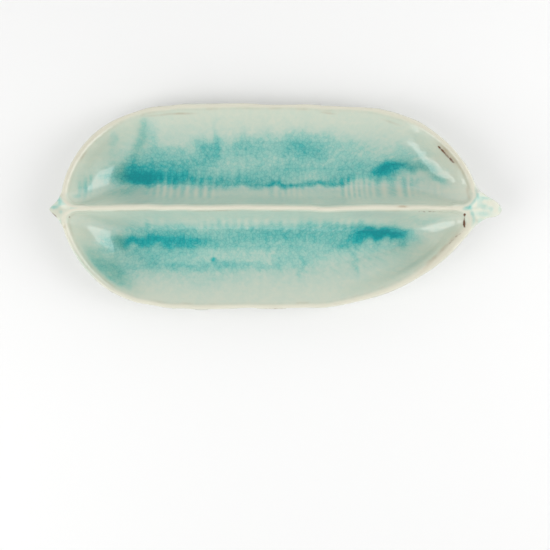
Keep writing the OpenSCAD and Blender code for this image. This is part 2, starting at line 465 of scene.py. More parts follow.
# Tip: like the stem, with x counted toward the tip
TIP_START_X = 130
TIP_HALF = 5.9
TIP_END_POWER = 2.2
TIP_FLARE = 3.4
TIP_FLARE_POWER = 6
TIP_TOP = CREST_H - 0.9
TIP_RISE = 1.1
TIP_HOLLOW = 0.7
TIP_LEAN = (140, 150, 0, -0.8)
TIP_T = (138, 152, 6.0, 2.2)
TIP_BELLY = 0.2
TIP_ROUND = 1.5


def strip(y, z, half, lean, top, thick, belly, round_r):
    """A strip along x, from its half width, lean, upper surface, thickness and belly."""
    off = np.abs(y - RIB_Y - lean)
    side = (off - half) * SIDE_SLOPE
    keel = thick * (1 - belly * np.clip(off / np.maximum(half, 1), 0, 1) ** 3)
    slab = soft_max(z - top, top - keel - z, round_r)
    return soft_max(side, slab, round_r)


def hollow(y, half, lean, depth):
    """How far the top of a strip is sunk between its edges."""
    off = np.clip((y - RIB_Y - lean) / np.maximum(half, 1), -1, 1)
    return depth * (1 - off * off)


def between_rims(gap):
    """Half width of the wedge where the two rims part at an end of the rib."""
    return mix(CORNER_Q, 0.0, rib_share(gap, OUTER_CORNER_RUN[0])) + RIM_OVERLAP


def stem_field(x, y, z):
    droop = np.clip((x - RIB_STEM_X) / (STEM_END_X - RIB_STEM_X), 0, 1) ** STEM_DROOP_POWER
    lean = grade(x, *STEM_LEAN)
    past = np.clip((x - STEM_REACH) / (STEM_END_X - STEM_REACH), 0, 1)
    free = mix(*STEM_HALF, past) * np.sqrt(1 - past ** STEM_END_POWER)
    free = free + STEM_FLARE * (1 - past) ** STEM_FLARE_POWER
    held = np.minimum(between_rims(STEM_REACH - x), STEM_HALF[0] + STEM_FLARE)
    half = np.where(x < STEM_REACH, held, free)
    half = np.where(x > STEM_END_X, STEM_END_X - x, half) - np.maximum(0, STEM_START_X - x)
    top = STEM_TOP - STEM_DROOP * droop - grade(x, *STEM_DIP) - hollow(y, half, lean, STEM_HOLLOW)
    return strip(y, z, half, lean, top, grade(x, *STEM_T), STEM_BELLY, STEM_ROUND)


def root_field(x, y, z, over):
    """Clay of the stem's root, drawn out thin along the outside of the two rims."""
    back = np.clip(ROOT_START - x, 0, ROOT_LENGTH)
    is_far = y > RIB_Y + ROOT_LEAN
    speed, power = [np.where(is_far, far, near) for near, far in zip(*ROOT_SPREAD)]
    half = ROOT_HALF + speed * back ** power
    lean_back = 1 / np.sqrt(1 + (speed * power * back ** (power - 1)) ** 2)
    off = np.abs(y - RIB_Y - ROOT_LEAN)
    plan = np.maximum((off - half) * lean_back, (ROOT_OVER - over) * LIP_W)
    plan = np.maximum(plan, np.abs(x - ROOT_MIDDLE) - ROOT_KEPT)
    out = np.maximum(off - ROOT_LEVEL, 0)
    top = ROOT_TOP - ROOT_SLOPE * out - ROOT_SLOPE * np.maximum(x - STEM_REACH, 0)
    thick = mix(*ROOT_T, np.minimum(out / ROOT_T_RUN, 1))
    slab = soft_max(z - top, top - thick - z, ROOT_ROUND)
    return soft_max(plan, slab, ROOT_ROUND)


def tip_field(x, y, z):
    past = np.clip((-x - TIP_REACH) / (TIP_REACH_OUT - TIP_REACH), 0, 1)
    lean = grade(-x, *TIP_LEAN)
    free = TIP_HALF * (1 - past ** TIP_END_POWER) + TIP_FLARE * (1 - past) ** TIP_FLARE_POWER
    held = np.minimum(between_rims(TIP_REACH + x), TIP_HALF + TIP_FLARE)
    half = np.where(-x < TIP_REACH, held, free)
    half = np.where(past >= 1, x + TIP_REACH_OUT, half) - np.maximum(0, x + TIP_START_X)
    top = TIP_TOP + TIP_RISE * past - hollow(y, half, lean, TIP_HOLLOW)
    return strip(y, z, half, lean, top, grade(-x, *TIP_T), TIP_BELLY, TIP_ROUND)


# The whole body on a grid, and the skin around it

# Square of the steepest slope that counts, rounding of edges, and how far pieces blend
STEEPEST = 60
EDGE_ROUND = 0.8
ROOT_BLEND = 4.0
JOINT_BLEND = 4.5


def body_field():
    """Distance from the body's skin, about, at the points of the grid: less than 0 in the clay."""
    axes = [np.arange(GRID_LOW[k], GRID_HIGH[k] + STEP / 2, STEP) for k in range(3)]
    x, y = np.meshgrid(axes[0], axes[1], indexing="ij")
    top, under, over = both_halves(x, y)
    under = np.minimum(under, NO_HULL_Z)
    z = axes[2][None, None, :]
    sides = []
    for surface, sign in ((top, 1), (under, -1)):
        gx, gy = np.gradient(surface, STEP)
        level = 1 / np.sqrt(1 + np.minimum(gx * gx + gy * gy, STEEPEST))
        sides.append(sign * (z - surface[:, :, None]) * level[:, :, None])
    field = soft_max(*sides, EDGE_ROUND)
    x3 = x[:, :, None]
    y3 = y[:, :, None]
    stem = soft_min(root_field(x3, y3, z, over[:, :, None]), stem_field(x3, y3, z), ROOT_BLEND)
    field = soft_min(field, stem, JOINT_BLEND)
    field = soft_min(field, tip_field(x3, y3, z), JOINT_BLEND)
    return untangled(field)


def corner_of(field, u, at_u, v, at_v):
    """One corner of every face of the grid that spans two axes, as a view of the field."""
    cut_out = [slice(None)] * 3
    cut_out[u] = slice(at_u, field.shape[u] - 1 + at_u)
    cut_out[v] = slice(at_v, field.shape[v] - 1 + at_v)
    return field[tuple(cut_out)]


def untangled(field, rounds=6, filled=-0.02):
    """The field with clay where a grid face's corners alternate, so that the skin doesn't touch itself."""
    for _ in range(rounds):
        for u, v in ((0, 1), (0, 2), (1, 2)):
            a = corner_of(field, u, 0, v, 0)
            b = corner_of(field, u, 1, v, 0)
            c = corner_of(field, u, 1, v, 1)
            d = corner_of(field, u, 0, v, 1)
            tangled = ((a < 0) == (c < 0)) & ((b < 0) == (d < 0)) & ((a < 0) != (b < 0))
            for corner in (a, b):
                corner[tangled] = np.minimum(corner[tangled], filled)
    return field


# Corners of a grid cell, and the pairs of them that an edge joins
CUBE = list(np.ndindex(2, 2, 2))
CUBE_EDGES = [(a, b) for a in CUBE for b in CUBE if sum(b) == sum(a) + 1 and np.less_equal(a, b).all()]


def sample(field, points):
    """Values of a grid field at points, by interpolation."""
    g = (points - GRID_LOW) / STEP
    i = np.clip(np.floor(g).astype(int), 0, np.array(field.shape) - 2)
    w = g - i
    total = np.zeros(len(points))
    for corner in CUBE:
        weight = np.prod(np.where(corner, w, 1 - w), axis=1)
        total += weight * field[tuple((i + np.array(corner)).T)]
    return total


def gradient(field, points, span):
    """Slope of a grid field at points, over a span to either side."""
    out = np.empty_like(points)
    for k in range(3):
        shift = np.zeros(3)
        shift[k] = span
        out[:, k] = (sample(field, points + shift) - sample(field, points - shift)) / (2 * span)
    return out


def skin_of(field):
    """Quads around the places where the field changes sign."""
    inside = field < 0
    size = np.array(field.shape) - 1
    count = np.zeros(size, int)
    for i, j, k in CUBE:
        count += inside[i:size[0] + i, j:size[1] + j, k:size[2] + k]
    mixed = (count > 0) & (count < len(CUBE))
    index = np.full(size, -1)
    index[mixed] = np.arange(mixed.sum())
    cells = np.argwhere(mixed)
    place = np.zeros(cells.shape)
    hits = np.zeros(len(cells))
    for a, b in CUBE_EDGES:
        fa = field[tuple((cells + a).T)]
        fb = field[tuple((cells + b).T)]
        crossed = (fa < 0) != (fb < 0)
        w = fa[crossed] / (fa[crossed] - fb[crossed])
        place[crossed] += np.array(a) + w[:, None] * (np.array(b) - np.array(a))
        hits[crossed] += 1
    points = GRID_LOW + STEP * (cells + place / hits[:, None])

    quads = []
    for axis in range(3):
        u, v = [k for k in range(3) if k != axis]
        before = np.delete(inside, -1, axis)
        after = np.delete(inside, 0, axis)
        edge = np.argwhere(before != after)
        edge = edge[(edge[:, u] > 0) & (edge[:, v] > 0)]
        step_u = np.eye(3, dtype=int)[u]
        step_v = np.eye(3, dtype=int)[v]
        corners = [edge, edge - step_u, edge - step_u - step_v, edge - step_v]
        quad = np.stack([index[tuple(c.T)] for c in corners], axis=1)
        leaving = before[tuple(edge.T)]
        flip = leaving if axis == 1 else ~leaving
        quad[flip] = quad[flip][:, ::-1]
        quads.append(quad)
    return points, np.concatenate(quads)


def settle(field, points, rounds=3, least_slope=0.05):
    """Moves points onto the zero of the field."""
    for _ in range(rounds):
        g = gradient(field, points, STEP / 2)
        value = sample(field, points)
        move = (value / np.maximum((g * g).sum(axis=1), least_slope))[:, None] * g
        points = points - np.clip(move, -STEP / 2, STEP / 2)
    return points


# Glaze, painted by the way it ran: strokes of [x, y, half length, half width, turn in degrees, strength]

THICK_STROKES = (
    # Far trough: dark run by the tip and its streaks
    (-99.5, 24.5, 14.5, 8, 0, 0.52), (-88, 20.6, 30, 4.6, 1, 0.4),
    (-40, 18.2, 32, 4, 1, 0.34), (-10, 16.2, 22, 3.2, 1, 0.2),
    (-83, 35, 22, 9, 0, 0.22), (-66, 29, 18, 7, 0, 0.18),
    (-73, 23.5, 23, 6, 0, 0.2), (-96.5, 49, 3.6, 15, -18, 0.22),
    (-88, 50, 5, 9, -6, 0.14), (-114, 48, 2.2, 9, 0, 0.12),
    (-136, 13, 1.3, 6, 0, 0.16), (-132.8, 13.5, 1.6, 6.5, 0, 0.24),
    (-129.5, 16, 1.3, 7, 0, 0.16), (-139, 7.5, 4, 1.6, 10, 0.14),
    # Far trough: clouds up the wall
    (-48, 39.5, 9.5, 9, 20, 0.32), (-42, 46, 2.2, 12, 4, 0.12),
    (-2, 42.5, 46, 9, 1, 0.19), (22, 31, 26, 6, 1, 0.1),
    (-22, 43, 10, 6, 0, 0.1), (14, 43, 10, 7.5, 0, 0.2),
    (27, 48, 16, 5, 0, 0.08), (29.5, 38, 9, 5.5, 0, 0.2),
    (55, 38, 16, 8, 0, 0.12), (-10, 24, 42, 5, 0, 0.27),
    # Far trough: line along the foot of the rib, then the dark spot by the stem and its tail
    (16, 15.9, 28, 2.2, 1, 0.42), (45, 19, 15, 3, 10, 0.26),
    (54, 25, 22, 6, 8, 0.26), (80, 26.5, 10, 7, 10, 0.42),
    (72, 22.5, 10, 6, 20, 0.34), (96, 29.5, 14, 3.6, -6, 0.34),
    (111, 23, 10, 3.2, -40, 0.28), (89, 36, 12, 8, 0, 0.16),
    (90, 18, 12, 3, 0, 0.12),
    # Far trough: foot of the rib by the tip
    (-103, 11, 16, 3, 0, 0.14), (-88, 16.5, 13, 2.6, 0, 0.18),
    # Near trough: dark run by the tip and the band beyond it
    (-90, -23.4, 23, 3.8, 2, 0.52), (-60, -26, 18, 3.8, 3, 0.34),
    (-104, -23.5, 8, 4, 0, 0.22), (-84, -17, 22, 5.2, 0, 0.29),
    (-116, -27, 9, 8, 0, 0.12), (-84, -31, 28, 7, 0, 0.19),
    (-30, -21, 42, 8.5, 0, 0.28), (26, -20, 42, 8.5, -2, 0.28),
    (46, -14, 20, 4, -4, 0.18), (105, -9, 14, 3, 0, 0.1),
    # Near trough: dark spot by the stem
    (75.8, -17.4, 17, 4.6, -5, 0.68), (65, -20, 14, 5.5, 0, 0.25),
    (88, -22, 13, 4.5, 0, 0.22), (54, -25, 13, 4.6, 14, 0.28),
    # Near trough: second line, dot and drips
    (-42, -41.8, 42, 3.4, 1, 0.21), (-82, -40, 24, 6, 0, 0.1),
    (-45.3, -37.9, 1.5, 1.5, 0, 0.5), (-60, -47, 50, 9, 0, 0.08),
    (-121, -42, 19, 7.5, -40, 0.27), (-102, -41, 15, 9, 0, 0.12),
    (17.8, -43.8, 2.4, 9, 0, 0.1), (56, -39.6, 2.4, 9, 0, 0.14),
    (0, -39, 3, 7, 0, 0.1), (16, -37, 13, 8, 0, 0.1),
    # Hollows of the stem and the tip
    (129.5, -0.2, 3.5, 1.5, 0, 0.34), (134, 3.7, 5, 1.3, 51, 0.28),
    (136.6, 10, 4.5, 1.2, 97, 0.22), (133.6, -5, 4.8, 1.3, -70, 0.26),
    (134.3, -10.3, 2.8, 1.2, 75, 0.18), (141, -4.3, 6.5, 2, -3, 0.22),
    (142, 1.6, 2.5, 1.6, 0, 0.12), (142, 6.5, 2.8, 1.3, -30, 0.12),
    (147, -1.1, 1.8, 1.5, 0, 0.16), (153.5, -1.1, 1.2, 2.2, 0, 0.16),
    (-147.5, 4.2, 2.2, 2.2, 0, 0.14), (-150.5, 0.8, 3, 1.6, 25, 0.16),
)
MOSS_STROKES = (
    (-121, -42, 20, 8, -40, 0.75), (-109, 25, 4.5, 7, 0, 0.75),
    (-111.5, -24, 5, 4.5, 0, 0.85), (104, 27.5, 18, 4.5, -20, 0.65),
    (-97, 46, 6, 14, -18, 0.6),
)
IRON_STROKES = (
    # Far inner lip by the stem
    (116.8, 36.4, 8.8, 0.9, -48, 0.68), (112.4, 41.4, 1.8, 1.2, -48, 0.32),
    (114.8, 38.4, 2, 1, -44, 0.18), (120.8, 31.8, 2.6, 1.1, -50, 0.32),
    # Corner of the near trough by the stem, and the line along its rim
    (128.4, -4.8, 0.8, 0.9, 0, 0.9), (128.8, -11.5, 0.8, 2.4, 0, 0.95),
    (128.6, -8, 0.6, 5, 0, 0.62), (126.8, -17, 3.4, 0.8, 48, 0.48),
    (123.6, -19.8, 1, 0.9, 47, 0.45), (120.5, -23.2, 4.6, 0.8, 47, 0.5),
    (114.5, -29.8, 4.6, 0.8, 47, 0.44),
    # Under the crest's near edge
    (-38, -2.9, 20, 0.6, 0, 0.36), (104, -2.9, 14, 0.6, 0, 0.5),
    # Tip: its near edge and a dot in the corner beside it
    (-151.5, -5.2, 3.2, 0.7, -38, 0.9), (-141.6, -6.4, 0.7, 0.7, 0, 0.7),
)
# Iron along the outer edge of the near rim: [x, half length, strength]
EDGE_MARKS = ((-112, 12, 0.85), (-82, 16, 0.5), (4, 24, 0.7), (80, 6, 0.75))
# Thin brown lines along the crest's near edge, likewise
CREST_MARKS = ((-98, 14, 0.7), (-30, 30, 0.8), (48, 14, 0.6), (98, 22, 0.9))
# Tan where the glaze is thin on the rims, the crest, the stem and the tip; on the stem it is also painted
# shade, which darkens its top where the lights make it bright
TAN_AND_SHADE_STROKES = (
    (-66, 65.2, 9, 0.7, 1, 0.7), (-82, 64, 12, 0.7, 5, 0.4),
    (36, 65.5, 5, 0.6, -6, 0.45), (80, 59, 6, 0.7, -20, 0.4),
    (-145, -13.2, 1.2, 1.2, 0, 0.6), (86, 0.6, 3.5, 0.8, 0, 0.9),
    (131, 11, 0.9, 5, 8, 0.5), (117.7, 37.1, 9, 1.4, -48, 0.55),
    (118, 35, 13, 1.6, -48, 0.25), (114, -30, 20, 1, 47, 0.35),
    # The first stroke here is painted shade: tan that darkens the stem's top against the light it gets
    (146, 0, 12, 9, 0, 0.24), (-150, -2, 5, 4, 0, 0.15),
    # Thin on the walls at the ends
    (116, 27, 20, 13, -45, 0.2), (112, -27, 24, 12, 42, 0.2),
    (-128, 36, 24, 10, 50, 0.16), (-132, -22, 14, 7, -70, 0.14),
)


def stroked(strokes, x, y, edge=1.3):
    """Sum of the strokes at places of the plan."""
    total = np.zeros_like(x)
    for sx, sy, length, width, turn, strength in strokes:
        c = cos(radians(turn))
        s = sin(radians(turn))
        dx = (x - sx) * c + (y - sy) * s
        dy = (y - sy) * c - (x - sx) * s
        r = (dx / length) ** 2 + (dy / width) ** 2
        total += strength * np.exp(-r ** edge)
    return total


# How the runs wander in x and y: [reach, length in x, length in y, seed], and |x| where that dies out
WANDER = ((5, 8, 8, 21), (4, 6, 9, 22))
WANDER_X = (135, 120)
# Mottle on the stem and the tip, whose least thickness is also painted shade that darkens them, and patches
# of tan: [lengths, seed], and what the noise becomes
MOTTLE_NOISE = (4.2, 3.2, 41)
MOTTLE_AND_SHADE = (0.5, 0.75, 0.06, 0.20)
PATCH_NOISE = (9, 9, 31)
PATCHY = (0.45, 0.75, 0.35, 1.0)
# |x| and shares over the lip where mottle and strokes set in there, and depth where strokes do inside
MOTTLE_X = (132, 138)
MOTTLE_OVER = (0.8, 1.2)
END_STROKES_X = (124, 128)
END_STROKES_OVER = (0.4, 0.8)
STROKES_DEPTH = (0.0, 0.1)
# What is outside: share of the wall's thickness, how little it faces up, and share over the rim's lip
OUTSIDE_SHARE = (0.5, 0.3)
OUTSIDE_UP = 0.3
OUTSIDE_OVER = (0.75, 1.1)
OUTSIDE_THICK = 0.07
LEAST_T = 0.5
# Glaze from the lip to the floor, below the rim and the rib, and where it thins over the lip
RIM_GLAZE = (0.1, 0.32)
RIB_GLAZE = (0.095, 0.235)
RIM_GLAZE_POWER = 1.4
RIM_THINS = (0.4, 0.0)
RIB_THINS = (0.7, 0.1)
# Finger marks: glaze gained in the gaps and lost on the ridges, and where they start and end
NEAR_MARKS = (0.045, 0.085)
FAR_MARKS = (0.10, 0.12)
RIDGE_POWER = 1.5
NEAR_MARKS_FROM = (0.06, 0.22)
NEAR_MARKS_TO = (0.82, 0.48)
FAR_MARKS_TO = (0.85, 0.55)
FAR_MARKS_Q = (24, 20)
# How fast the inner edge of the lip passes into the wall
LIP_BLEND = 6.0
# Places across the lip, [share, half width], of tan and of brown lines, and strengths of the tan
INNER_EDGE = (0.05, 0.15)
OUTER_EDGE = (1.08, 0.14)
EDGE_MARKS_AT = (0.98, 0.16)
CREST_MARKS_AT = (0.2, 0.1)
INNER_TAN = 0.45
OUTER_TAN = 0.7
OUTER_TAN_X = (134, 126)
RIB_TAN = 0.3
# Least height of iron, reach of the hull's colour, and length of the flow from floor to lip
IRON_Z = 10
HULL_X = 140
FLOW_RISE = 10


def plan_noise(x, y, x_length, y_length, seed):
    return soft_noise(x / x_length, y / y_length, seed)


def finger_marks(bowl, x, q, wall):
    """Change of the glaze's thickness by the finger marks."""
    ridges, gaps = flutes(x, bowl.side)
    if bowl is FAR:
        gained, lost = FAR_MARKS
        marked = smooth(*FAR_MARKS_TO, wall) * smooth(*FAR_MARKS_Q, q)
    else:
        gained, lost = NEAR_MARKS
        marked = smooth(*NEAR_MARKS_FROM, wall) * smooth(*NEAR_MARKS_TO, wall)
    return (gained * gaps - lost * ridges ** RIDGE_POWER) * marked


def inner_glaze(bowl, x, q, wall, over, on_rim, strokes):
    """Thickness of the glaze in a bowl, and of the strokes beyond its ends."""
    depth = np.clip(1 - wall, 0, 1)
    base = np.where(on_rim, mix(*RIM_GLAZE, depth ** RIM_GLAZE_POWER), mix(*RIB_GLAZE, depth))
    base = base + finger_marks(bowl, x, q, wall) * ~on_rim
    thins = np.where(on_rim, smooth(*RIM_THINS, over), smooth(*RIB_THINS, over))
    base = (base + strokes * smooth(*STROKES_DEPTH, depth)) * thins
    return base + strokes * smooth(*END_STROKES_X, np.abs(x)) * smooth(*END_STROKES_OVER, over)


def lip_tan(x, on_lip, on_rim, out):
    """Tan along the edges of the lip."""
    rim = INNER_TAN * hump(on_lip, *INNER_EDGE) * (1 - out)
    rim = rim + OUTER_TAN * hump(on_lip, *OUTER_EDGE) * smooth(*OUTER_TAN_X, np.abs(x))
    return np.where(on_rim, rim, RIB_TAN * hump(on_lip, *INNER_EDGE))


def paint(points, normals):
    """Glaze at points of the skin: thickness, moss, iron, hull, tan, and the line along which it ran; the
    thickness on the stem and the tip and the tan on the stem are partly painted shade.
    """
    x, y, z = points.T
    side = y - rib_y(x)
    thick, outside, edges, rim_iron = np.zeros((4, len(x)))
    flow = np.zeros_like(points)
    in_bowl = smooth(*WANDER_X, np.abs(x))
    shift_x, shift_y = [far * (plan_noise(x, y, *noise) - 0.5) * in_bowl for far, *noise in WANDER]
    wx = x + shift_x
    wy = y + shift_y
    strokes = stroked(THICK_STROKES, wx, wy)
    # Real mottle on the stem and the tip; its least value thickens the glaze there everywhere as painted
    # shade
    mottle_and_shade = grade(plan_noise(x, y, *MOTTLE_NOISE), *MOTTLE_AND_SHADE) * smooth(*MOTTLE_X, np.abs(x))
    for bowl in (NEAR, FAR):
        here = side * bowl.side >= 0
        hx = x[here]
        q = np.abs(side[here])
        top, wall, over, lip_x, lip_q, on_rim = top_of(bowl, hx, q)
        under, hull = under_of(bowl, hx, q)
        out = smooth(*OUTSIDE_SHARE, (z[here] - under) / np.maximum(top - under, LEAST_T))
        out = np.maximum(out * (normals[here, 2] < OUTSIDE_UP), smooth(*OUTSIDE_OVER, over) * on_rim)
        inner = inner_glaze(bowl, hx, q, wall, over, on_rim, strokes[here])
        thick[here] = mix(inner + mottle_and_shade[here] * smooth(*MOTTLE_OVER, over), OUTSIDE_THICK, out)
        outside[here] = out
        on_lip = over - LIP_BLEND * np.clip(1 - wall, 0, 1)
        edges[here] = lip_tan(hx, on_lip, on_rim, out)
        run = np.where(out > 0.5, hull, wall) * FLOW_RISE
        flow[here] = np.stack([lip_x, lip_q * bowl.side, run], axis=1)
        if bowl is NEAR:
            rim_iron[here] = humps(hx, EDGE_MARKS) * hump(over, *EDGE_MARKS_AT) * on_rim
            edges[here] += humps(hx, CREST_MARKS) * hump(on_lip, *CREST_MARKS_AT) * ~on_rim
    inside = 1 - outside
    iron = stroked(IRON_STROKES, x, y) * (z > IRON_Z)
    patchy = grade(plan_noise(x, y, *PATCH_NOISE), *PATCHY)
    return {
        "thick": thick,
        "moss": stroked(MOSS_STROKES, wx, wy) * inside,
        "iron": iron * np.where(x < -TIP_REACH, 1, inside) + rim_iron,
        "hull": outside * (np.abs(x) < HULL_X),
        # Tan also carries the painted shade on the stem's top
        "tan": edges * patchy + stroked(TAN_AND_SHADE_STROKES, x, y) * inside,
        "flow": flow,
    }


# Meshes

def new_mesh(name, points, faces):
    mesh = bpy.data.meshes.new(name)
    mesh.vertices.add(len(points))
    mesh.vertices.foreach_set("co", (points * MM).ravel())
    count = faces.shape[1]
    mesh.loops.add(faces.size)
    mesh.loops.foreach_set("vertex_index", faces.ravel())
    mesh.polygons.add(len(faces))
    mesh.polygons.foreach_set("loop_start", np.arange(len(faces)) * count)
    mesh.update(calc_edges=True)
    return mesh


def read(items, name, kind, width=1):
    """Values of a mesh's items as rows of a given width."""
    out = np.empty(len(items) * width, kind)
    items.foreach_get(name, out)
    return out.reshape(-1, width)


def mesh_points(mesh):
    return read(mesh.vertices, "co", float, 3) / MM


def cut(bm, place, normal):
    """Cuts away what lies on the normal's side of a plane, and closes the cut."""
    geom = bm.verts[:] + bm.edges[:] + bm.faces[:]
    cap = bm.faces.layers.int["cap"]
    done = bmesh.ops.bisect_plane(
        bm, geom=geom, dist=1e-9, plane_co=[p * MM for p in place], plane_no=normal, clear_outer=True
    )
    edges = [e for e in done["geom_cut"] if isinstance(e, bmesh.types.BMEdge) and e.is_boundary]
    filled = bmesh.ops.triangle_fill(bm, edges=edges, normal=normal)
    for item in filled["geom"]:
        if isinstance(item, bmesh.types.BMFace):
            item[cap] = 1


def set_values(mesh, values):
    for name, data in values.items():
        kind = "FLOAT_VECTOR" if data.ndim == 2 else "FLOAT"
        layer = mesh.attributes.new(name, kind, "POINT")
        layer.data.foreach_set("vector" if data.ndim == 2 else "value", data.ravel().astype(np.float32))


def set_normals(mesh, normals):
    """Keeps the body's own normals on its skin, so that joints don't show, and flat normals on cuts."""
    corner = read(mesh.loops, "vertex_index", int).ravel()
    total = read(mesh.polygons, "loop_total", int).ravel()
    flat = np.repeat(read(mesh.polygons, "normal", float, 3), total, axis=0)
    cap = np.repeat(read(mesh.attributes["cap"].data, "value", int), total, axis=0)
    mesh.polygons.foreach_set("use_smooth", np.ones(len(mesh.polygons), bool))
    mesh.normals_split_custom_set(np.where(cap == 1, flat, normals[corner]).tolist())


def add_piece(name, mesh, material):
    mesh.materials.append(material)
    piece = bpy.data.objects.new(name, mesh)
    scene.collection.objects.link(piece)
    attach(piece, "root")
    return piece


def body_piece(name, skin, field, planes, material):
    """A piece of the body, cut from its skin by planes."""
    bm = bmesh.new()
    bm.from_mesh(skin)
    bm.faces.layers.int.new("cap")
    for place, normal in planes:
        cut(bm, place, normal)
    mesh = bpy.data.meshes.new(name)
    bm.to_mesh(mesh)
    bm.free()
    points = mesh_points(mesh)
    normals = gradient(field, points, STEP)
    normals /= np.maximum(np.linalg.norm(normals, axis=1), 1e-6)[:, None]
    set_values(mesh, paint(points, normals))
    set_normals(mesh, normals)
    return add_piece(name, mesh, material)


# Pools of glass

POOL_STATIONS = 240
POOL_RINGS = 14
POOL_FLOOR_COLUMNS = 5
POOL_SINK = 0.15
POOL_EDGE = 0.02
POOL_FILLET = 1.0
POOL_SHARP = radians(35)
# Points of a pool closer than this, in metres, are one
POOL_MERGE = 2e-6


def stations(bowl, loop, t):
    """x of the stations of a loop, from -1 at its tip end to 1 at its stem end."""
    return bowl.widest + np.where(t < 0, t * (bowl.widest - loop.tip), t * (loop.stem - bowl.widest))


def pool_rows(bowl):
    """Plan and wall height of a pool: rows across it, from the rim side to the rib side."""
    t = np.sin(np.linspace(-pi / 2, pi / 2, POOL_STATIONS))
    a = np.abs(t)
    inner = inner_loop(bowl)
    x_low = stations(bowl, FLOOR_LOOP, t)
    x_high = stations(bowl, inner, t)
    sides = []
    for on_rim in (True, False):
        wall_h = lip_height(bowl, inner, x_high, a, on_rim, LIP_INNER_FALL) - FLOOR_T
        bow = bow_of(INNER_BOW, bowl, x_high, a, on_rim)
        edge = ((POOL_DEPTH + POOL_FILLET) / wall_h) ** (1 / bow)
        columns = []
        for k in range(POOL_RINGS + 1):
            share = edge * k / POOL_RINGS
            x = mix(x_low, x_high, share)
            _, _, rim_q, rib_q = across(bowl, FLOOR_LOOP, inner, x, share)
            columns.append((x, rim_q if on_rim else rib_q, wall_h * share ** bow))
        sides.append(columns)
    rim, rib = sides
    middle = []
    for k in range(1, POOL_FLOOR_COLUMNS):
        f = k / POOL_FLOOR_COLUMNS
        middle.append(tuple(mix(r, i, f) for r, i in zip(rim[0], rib[0])))
    columns = rim[::-1] + middle + rib
    return [np.stack([column[k] for column in columns], axis=1) for k in range(3)]


def pool_piece(bowl, material):
    """A lens of glass that lies in a trough and thins out into the glaze around it."""
    x, q, rise = pool_rows(bowl)
    wall = FLOOR_T + rise
    top = soft_max(wall, FLOOR_T + POOL_DEPTH, POOL_FILLET) + POOL_EDGE
    y = RIB_Y + bowl.side * q
    rows, columns = x.shape
    upper = np.stack([x, y, top], axis=2).reshape(-1, 3)
    lower = np.stack([x, y, wall - POOL_SINK], axis=2).reshape(-1, 3)
    index = np.arange(rows * columns).reshape(rows, columns)
    quads = np.stack([index[:-1, :-1], index[1:, :-1], index[1:, 1:], index[:-1, 1:]], axis=2).reshape(-1, 4)
    shift = rows * columns
    faces = [quads[:, ::-1], quads + shift]
    for a, b in ((index[1:, 0], index[:-1, 0]), (index[:-1, -1], index[1:, -1])):
        faces.append(np.stack([a, b, b + shift, a + shift], axis=1))
    faces = np.concatenate(faces)
    if bowl.side < 0:
        faces = faces[:, ::-1]
    mesh = new_mesh(bowl.name + "_pool", np.concatenate([upper, lower]), faces)
    bm = bmesh.new()
    bm.from_mesh(mesh)
    bmesh.ops.remove_doubles(bm, verts=bm.verts[:], dist=POOL_MERGE)
    bmesh.ops.recalc_face_normals(bm, faces=bm.faces[:])
    for edge in bm.edges:
        edge.smooth = edge.calc_face_angle(0.0) < POOL_SHARP
    for face in bm.faces:
        face.smooth = True
    bm.to_mesh(mesh)
    bm.free()
    points = mesh_points(mesh)
    set_values(mesh, paint(points, np.tile((0.0, 0.0, 1.0), (len(points), 1))))
    return add_piece("dish_" + bowl.name + "_glaze_pool", mesh, material)


# Glaze materials

# Colours of the glaze from bare and thin to thick
RAMP = (
    (0.0, (0.68, 0.665, 0.55, 1)),
    (0.1, (0.585, 0.64, 0.54, 1)),
    (0.2, (0.48, 0.605, 0.525, 1)),
    (0.33, (0.34, 0.57, 0.5, 1)),
    (0.47, (0.235, 0.525, 0.47, 1)),
    (0.62, (0.14, 0.47, 0.43, 1)),
    (0.77, (0.038, 0.405, 0.4, 1)),
    (0.9, (0.009, 0.345, 0.355, 1)),
    (1.0, (0.004, 0.29, 0.31, 1)),
)
DEEP = (0.004, 0.22, 0.25, 1)
MOSS = (0.15, 0.37, 0.29, 1)
IRON = (0.13, 0.055, 0.025, 1)
HULL = (0.60, 0.635, 0.585, 1)
TAN = (0.42, 0.33, 0.21, 1)


class Nodes:
    """A short way to add linked shader nodes."""

    def __init__(self, owner, shader="Principled BSDF"):
        owner.use_nodes = True
        self.tree = owner.node_tree
        self.shader = self.tree.nodes[shader]

    def add(self, kind, inputs=None, **settings):
        node = self.tree.nodes.new(kind)
        for key, value in settings.items():
            setattr(node, key, value)
        self.fill(node, inputs or {})
        return node

    def fill(self, node, inputs):
        for key, value in inputs.items():
            if isinstance(value, bpy.types.NodeSocket):
                self.tree.links.new(value, node.inputs[key])
            else:
                node.inputs[key].default_value = value

    def math(self, operation, a, b=0.0, clamp=False):
        return self.add("ShaderNodeMath", {0: a, 1: b}, operation=operation, use_clamp=clamp).outputs[0]

    def times(self, a, b, clamp=False):
        return self.math("MULTIPLY", a, b, clamp)

    def attribute(self, name, output="Fac"):
        return self.add("ShaderNodeAttribute", attribute_name=name).outputs[output]

    def noise(self, vector, scale, detail=3.0, rough=0.55):
        inputs = {"Vector": vector, "Scale": scale, "Detail": detail, "Roughness": rough}
        return self.add("ShaderNodeTexNoise", inputs).outputs["Fac"]

    def blend(self, factor, a, b):
        return self.add("ShaderNodeMix", {0: factor, 6: a, 7: b}, data_type="RGBA").outputs[2]

    def scaled(self, vector, by):
        return self.add("ShaderNodeVectorMath", {0: vector, 1: by}, operation="MULTIPLY").outputs[0]

    def ramp(self, factor, stops):
        node = self.add("ShaderNodeValToRGB", {"Fac": factor})
        band = node.color_ramp
        while len(band.elements) < len(stops):
            band.elements.new(0.5)
        for element, (place, colour) in zip(band.elements, stops):
            element.position = place
            element.color = colour
        return node.outputs["Color"]


